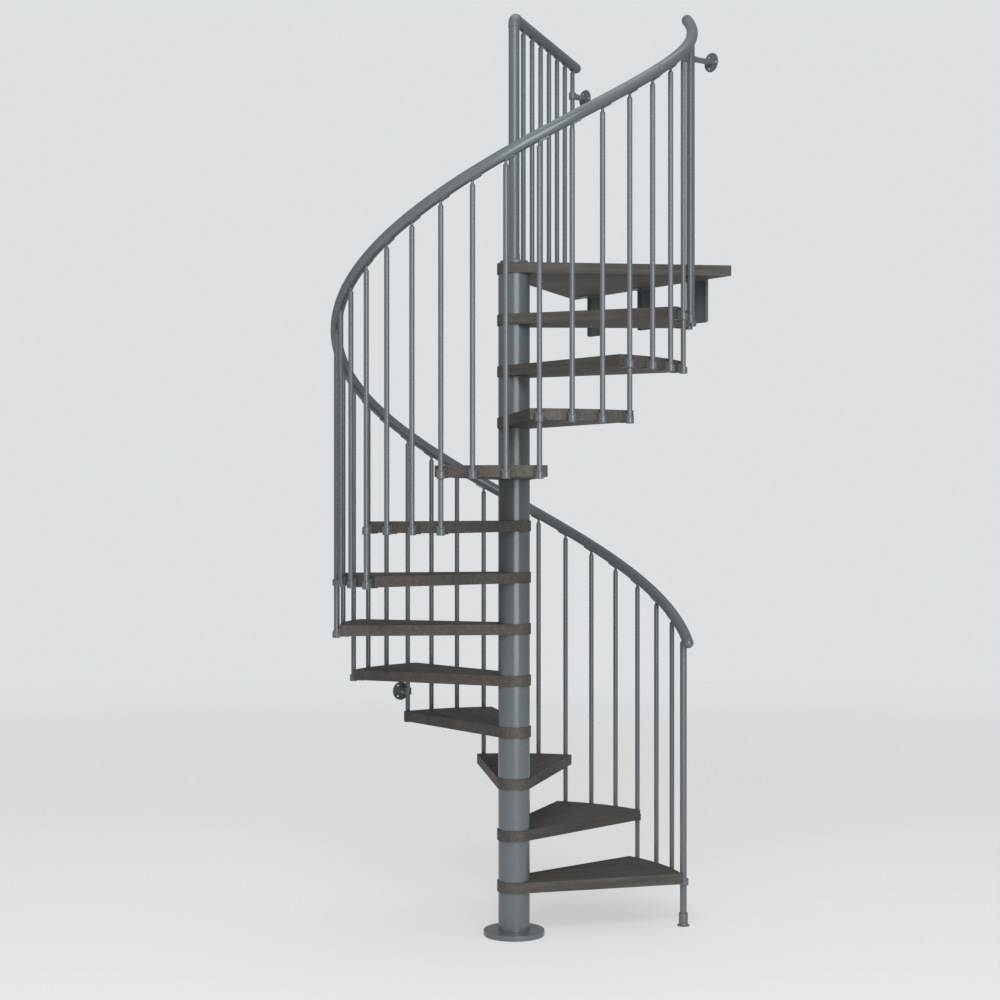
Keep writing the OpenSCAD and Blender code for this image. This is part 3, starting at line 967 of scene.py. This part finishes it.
def elbow():
    """A cast elbow from the guard post's top to the rail, with a bead at both ends. Its
    lower sleeve reaches further down the post than the frame's."""
    low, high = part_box("guard_elbow")
    radius = high.z - GUARD_Z
    leg = GUARD_Z - low.z
    bend, sleeve = leg - 0.004, leg + 0.009
    bead_half, bead_bulge = 0.0022, 0.0014
    settle()
    bpy.ops.mesh.primitive_circle_add(vertices=48, radius=radius, fill_type="NGON")
    body = bpy.context.object
    with editing(body):
        bpy.ops.transform.translate(value=(0, 0, -sleeve))
        extrude(0, 0, sleeve - bend)
        bpy.ops.mesh.spin(steps=14, angle=QUARTER, center=(bend, 0, -bend), axis=(0, -1, 0))
        extrude(leg - bend, 0, 0)
        bpy.ops.mesh.select_all(action="SELECT")
        bpy.ops.mesh.remove_doubles(threshold=NEAR)
        turn_outwards()
    rounded(body, 0.0008)
    profile = [(radius - 0.001, -bead_half), (radius + 0.0006, -bead_bulge),
               (radius + 0.0009, 0), (radius + 0.0006, bead_bulge), (radius - 0.001, bead_half)]
    lower, outer = smooth(turned(profile), 60), smooth(turned(profile), 60)
    place(lower, (0, 0, bead_half - sleeve))
    place(outer, (leg - bead_half, 0, 0), (0, QUARTER, 0))
    return joined([body, lower, outer])


class STAIR_OT_guard(bpy.types.Operator):
    """Models the landing's guard with its post, rail and rods"""

    bl_idname = "stair.guard"
    bl_label = "Guard"

    def execute(self, context):
        self.washer()
        self.post_and_rail()
        self.infill()
        return {"FINISHED"}

    def washer(self):
        low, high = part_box("landing_washer")
        disc_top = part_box("guard_post")[0].z
        sleeve, bore = POLE_R + 0.0018, POST_R + play()
        edge = 0.0005
        profile = [*chamfered_foot(high.x, low.z, edge), *rounded_top(high.x, disc_top, 0.003, 5),
                   (sleeve + 0.002, disc_top), (sleeve + 0.0006, disc_top + 0.0006),
                   (sleeve, disc_top + 0.002), (sleeve, high.z - edge),
                   (sleeve - edge, high.z), (bore, high.z), (bore, disc_top)]
        coated(smooth(turned(profile, 96)), "clamping_disc", "landing_washer")

    def post_and_rail(self):
        low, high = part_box("guard_post")
        post = smooth(straight(POST_R, low.z, high.z, 64), 35)
        coated(post, "guard_upright", "guard_post")
        bend = place(elbow(), (0, 0, GUARD_Z), (0, 0, GUARD_HEADING))
        coated(bend, "guard_bend", "guard_elbow")
        leg = GUARD_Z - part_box("guard_elbow")[0].z
        far = reach("guard_cap")[1] - RAIL_R
        rail = smooth(straight(RAIL_R, leg, far, 64), 35)
        along = (0, QUARTER, GUARD_HEADING)
        coated(place(rail, (0, 0, GUARD_Z), along), "guard_handrail", "guard_rail")
        tip = (far * math.cos(GUARD_HEADING), far * math.sin(GUARD_HEADING), GUARD_Z)
        coated(place(end_cap(), tip, along), "guard_end", "guard_cap")

    def infill(self):
        radius, edge, mouth = 0.015, 0.0022, 0.0004
        master = saddle(0, GUARD_Z - GUARD_RODS[0].top)
        uprights, saddles, rings = [], [], []
        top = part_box("guard_feet")[1].z
        for rod in GUARD_RODS:
            uprights.append(domed_rod(rod, rise=0.003))
            saddles.append(place(
                copy_of(master), (rod.x, rod.y, GUARD_Z), (0, 0, GUARD_HEADING - QUARTER)))
            bore = rod.radius + play()
            ring = turned([(radius - 0.0002, rod.bottom), (radius, rod.bottom + mouth),
                           *rounded_top(radius, top, edge, 4), (bore + mouth, top),
                           (bore, top - 0.0005), (bore, rod.bottom + 0.001)], 40)
            rings.append(place(smooth(ring), (rod.x, rod.y, 0)))
        bpy.data.objects.remove(master)
        coated(joined(uprights), "guard_rods", "guard_balusters")
        coated(joined(saddles), "guard_plates", "guard_saddles")
        coated(joined(rings), "guard_rings", "guard_feet")


# ---- brackets and wall fixings ----


class STAIR_OT_brackets(bpy.types.Operator):
    """Models the angle brackets between the landing and the wall"""

    bl_idname = "stair.brackets"
    bl_label = "Landing brackets"

    def execute(self, context):
        made = []
        for low, high in solids("landing_brackets"):
            size = high - low
            bracket = bracket_shape(width=size.y, drop=size.z, depth=size.x)
            made.append(place(bracket, (high.x, (low.y + high.y) / 2, high.z)))
        coated(joined(made), "pressed_brackets", "landing_brackets")
        return {"FINISHED"}


def bracket_shape(width, drop, depth):
    """A pressed angle bracket: a back plate with a lip down each side and a flange on top.
    Its back lies on x = 0 and the flange's top on z = 0."""
    plate, lip, corner, fold = 0.005, 0.014, 0.009, 0.003
    half = width / 2

    def at_corner(edge):
        """An edge across a lower corner of the lips, or an outer corner of the flange."""
        middle = middle_of(edge)
        below = middle.z < -drop * 0.9 and extent(edge).x > lip / 2
        return below or (middle.x < -depth * 0.95 and extent(edge).z > plate / 2)

    bracket = split(block((-lip, -half, -drop), (0, half, 0)), -plate)
    with editing(bracket):
        select_parts(
            bracket, "FACE", lambda f: f.normal.x < -0.9 and middle_of(f).z > -plate)
        extrude(lip - depth, 0, 0)
        select_parts(bracket, "EDGE", at_corner)
        bpy.ops.mesh.bevel(offset=corner, segments=6, affect="EDGES")
    cut(bracket, block((-2 * lip, plate - half, -2 * drop), (-plate, half - plate, -plate - fold)))
    split(bracket, -plate - fold)
    split(bracket, corner - drop)
    return rounded(bracket, 0.0008)


def wall_flange():
    """A round flange with three countersunk holes and a fillet where its arm stands."""
    radius, thick, hole, circle, edge = 0.040, 0.004, 0.00325, 0.027, 0.0008
    fillet = ((0.0135, 0), (0.0122, 0.0005), (0.0113, 0.0016), (0.0108, 0.0040))
    disc = turned([(radius, 0), (radius, thick - edge), (radius - edge, thick),
                   *[(out, thick + up) for out, up in fillet]], 96)
    sink = hole + 0.0032
    for turn in (math.pi, math.pi / 3, -math.pi / 3):
        drill = turned([(hole, -0.01), (hole, edge), (sink, thick), (sink, 0.02)], 32)
        cut(disc, place(drill, (circle * math.sin(turn), circle * math.cos(turn), 0)))
    return smooth(disc, 30)


def wall_fixing(distance, shift):
    """A wall flange, an arm and the ring that grips a rod, with its screws. The rod stands
    at the origin; the flange's back lies at x = distance, y = shift."""
    grip, grip_half, grip_wall, edge, into_flange = 0.016, 0.015, 0.0057, 0.0012, 0.002
    disc = place(wall_flange(), (distance, shift, 0), (0, -QUARTER, 0))
    heading = math.atan2(shift, distance)
    arm = place(tapered_arm(math.hypot(distance, shift)), turn=(0, 0, heading))
    rounded(sliced(arm, (distance - into_flange, 0, 0), (1, 0, 0)), edge)
    ring = rounded(tube(grip, grip_wall, -grip_half, grip_half, 48), edge)
    screw_x, cheek = grip + 0.007, 0.0078
    heads = [place(screw_head(0.0050, 0.0034), (screw_x, -side * cheek, 0), (side * QUARTER, 0, 0))
             for side in (1, -1)]
    heads = place(joined(heads), turn=(0, 0, heading))
    return joined([disc, arm, ring]), heads


def tapered_arm(run):
    """The arm along X from the grip's flat cheeks, round where it meets the flange."""
    radius, start, cheeks_end, round_from, spare = 0.0116, 0.0125, 0.034, 0.042, 0.04
    heights = (start, cheeks_end, round_from, run + spare)
    arm = place(turned([(radius, height) for height in heights], 40), turn=(0, QUARTER, 0))
    with editing(arm):
        select_parts(arm, "VERT", lambda v: v.co.x < (cheeks_end + round_from) / 2)
        bpy.ops.transform.resize(value=(1, 0.66, 1.20), center_override=(0, 0, 0))
    return arm


class STAIR_OT_fixings(bpy.types.Operator):
    """Models the fixings that hold the balusters to the walls"""

    bl_idname = "stair.fixings"
    bl_label = "Wall fixings"

    def execute(self, context):
        gripped = (("lower", STAIR_RODS[PER_TREAD * 4]), ("upper", STAIR_RODS[-1]),
                   ("guard", GUARD_RODS[-1]))
        mounts = {m["name"]: m for m in frame["record"]["mounts"]}
        for name, rod in gripped:
            mount = mounts[f"{name}_wall_flange"]
            facing = math.atan2(mount["axis"][1], mount["axis"][0])
            at, turn = (rod.x, rod.y, mount["pos_m"][2]), (0, 0, facing)
            local = Matrix.Rotation(-facing, 3, "Z") @ (Vector(mount["pos_m"]) - Vector(at))
            body, heads = wall_fixing(local.x, local.y)
            coated(place(body, at, turn), f"fixing_{name}", f"wall_fixing_{name}")
            hand_over(place(heads, at, turn), f"fixing_{name}_screws", zinc_plate, METAL)
        return {"FINISHED"}


# ---- the stage ----


def softbox(name, at, size, power, colour=(1, 1, 1)):
    """A large soft light that faces the staircase and doesn't show itself."""
    centre = Vector((0, 0, 1.9))
    settle()
    bpy.ops.object.light_add(type="AREA", location=at)
    lamp = bpy.context.object
    lamp.name = name
    lamp.rotation_euler = (centre - Vector(at)).to_track_quat("-Z", "Y").to_euler()
    lamp.data.shape = "RECTANGLE"
    lamp.data.size, lamp.data.size_y = size
    lamp.data.energy = power
    lamp.data.color = colour
    lamp.visible_camera = False
    return lamp


class STAIR_OT_stage(bpy.types.Operator):
    """Sets the floor, the lights and the camera"""

    bl_idname = "stair.stage"
    bl_label = "Stage"

    def execute(self, context):
        stage = context.scene.stair_stage
        self.floor(stage)
        self.world(context.scene, stage)
        self.camera(context.scene, stage)
        self.lights(stage)
        context.scene.view_settings.view_transform = "Standard"
        return {"FINISHED"}

    def lights(self, stage):
        """The places of the first two follow the camera's heading: right, forward and up."""
        view = Matrix.Rotation(-stage.camera_heading, 3, "Z")
        softbox("key_light", at=view @ Vector((2.4, -7.6, 3.15)), size=(4.6, 6.1),
                power=stage.key)
        high = softbox("high_light", at=view @ Vector((-1.2, -6.0, 6.2)), size=(4.0, 3.0),
                       power=stage.fill, colour=(0.97, 0.99, 1.0))
        high.visible_glossy = False
        softbox("top_light", at=(0.5, -0.5, 7.5), size=(5.0, 5.0), power=stage.fill / 5)

    def floor(self, stage):
        """A round floor that fades out towards its edge."""
        solid_to, gone_from = 2.5, 12.0
        settle()
        bpy.ops.mesh.primitive_circle_add(vertices=128, radius=30, fill_type="NGON")
        ground = bpy.context.object
        ground.name = "studio_floor"
        material, tree, surface = new_finish("floor_paint")
        spot = add_node(tree, "TexCoord", {}, "Object")
        away = add_node(tree, "VectorMath", {0: spot}, "Value", operation="LENGTH")
        solid = add_node(
            tree, "MapRange", {"Value": away, 1: solid_to, 2: gone_from, 3: 1.0, 4: 0.0},
            interpolation_type="SMOOTHERSTEP")
        feed(surface, {
            "Base Color": stage.floor, "Roughness": 0.6, "Specular IOR Level": 0.2,
            "Emission Color": stage.floor, "Emission Strength": stage.glow, "Alpha": solid})
        ground.data.materials.append(material)

    def world(self, scene, stage):
        """The backdrop that shows, and the light from all round that doesn't."""
        world = bpy.data.worlds.new("studio")
        world.use_nodes = True
        tree = world.node_tree
        around = tree.nodes["Background"]
        path = add_node(tree, "LightPath", {}).node.outputs
        level = add_node(tree, "MapRange", {
            "Value": path["Is Glossy Ray"], 1: 0.0, 2: 1.0, 3: stage.ambient,
            4: stage.ambient * stage.mirrored})
        feed(around, {"Color": (0.90, 0.95, 1.0, 1), "Strength": level})
        seen = add_node(tree, "Background", {"Color": tuple(stage.backdrop), "Strength": 1.0})
        mixed = add_node(tree, "MixShader", {
            0: path["Is Camera Ray"], 1: around.outputs[0], 2: seen})
        feed(tree.nodes["World Output"], {"Surface": mixed})
        scene.world = world

    def camera(self, scene, stage):
        settle()
        bpy.ops.object.camera_add(
            location=stage.camera_place, rotation=(QUARTER, 0, -stage.camera_heading))
        camera = bpy.context.object
        camera.data.lens = stage.lens
        camera.data.sensor_width = 36
        camera.data.shift_y = stage.shift
        scene.camera = camera


# ---- the panel ----


SETTINGS = (
    ("stair_wood", StairWood),
    ("stair_metal", StairMetal),
    ("stair_parts", StairParts),
    ("stair_stage", StairStage),
)
STEPS = (
    STAIR_OT_treads,
    STAIR_OT_landing,
    STAIR_OT_column,
    STAIR_OT_cups,
    STAIR_OT_rods,
    STAIR_OT_newel,
    STAIR_OT_handrail,
    STAIR_OT_saddles,
    STAIR_OT_guard,
    STAIR_OT_brackets,
    STAIR_OT_fixings,
    STAIR_OT_stage,
)


class STAIR_PT_panel(bpy.types.Panel):
    bl_idname = "STAIR_PT_panel"
    bl_label = "Spiral staircase"
    bl_space_type = "VIEW_3D"
    bl_region_type = "UI"
    bl_category = "Staircase"

    def draw(self, context):
        for step in STEPS:
            self.layout.operator(step.bl_idname)
        for name, group in SETTINGS:
            box = self.layout.box()
            for key in group.__annotations__:
                box.prop(getattr(context.scene, name), key)


def register():
    for name, group in SETTINGS:
        bpy.utils.register_class(group)
        setattr(bpy.types.Scene, name, bpy.props.PointerProperty(type=group))
    for kind in (*STEPS, STAIR_PT_panel):
        bpy.utils.register_class(kind)


def unregister():
    for kind in reversed((*STEPS, STAIR_PT_panel)):
        bpy.utils.unregister_class(kind)
    for name, group in reversed(SETTINGS):
        delattr(bpy.types.Scene, name)
        bpy.utils.unregister_class(group)


def main():
    register()
    for step in STEPS:
        getattr(bpy.ops.stair, step.bl_idname.split(".")[1])()


if __name__ == "__main__":
    main()
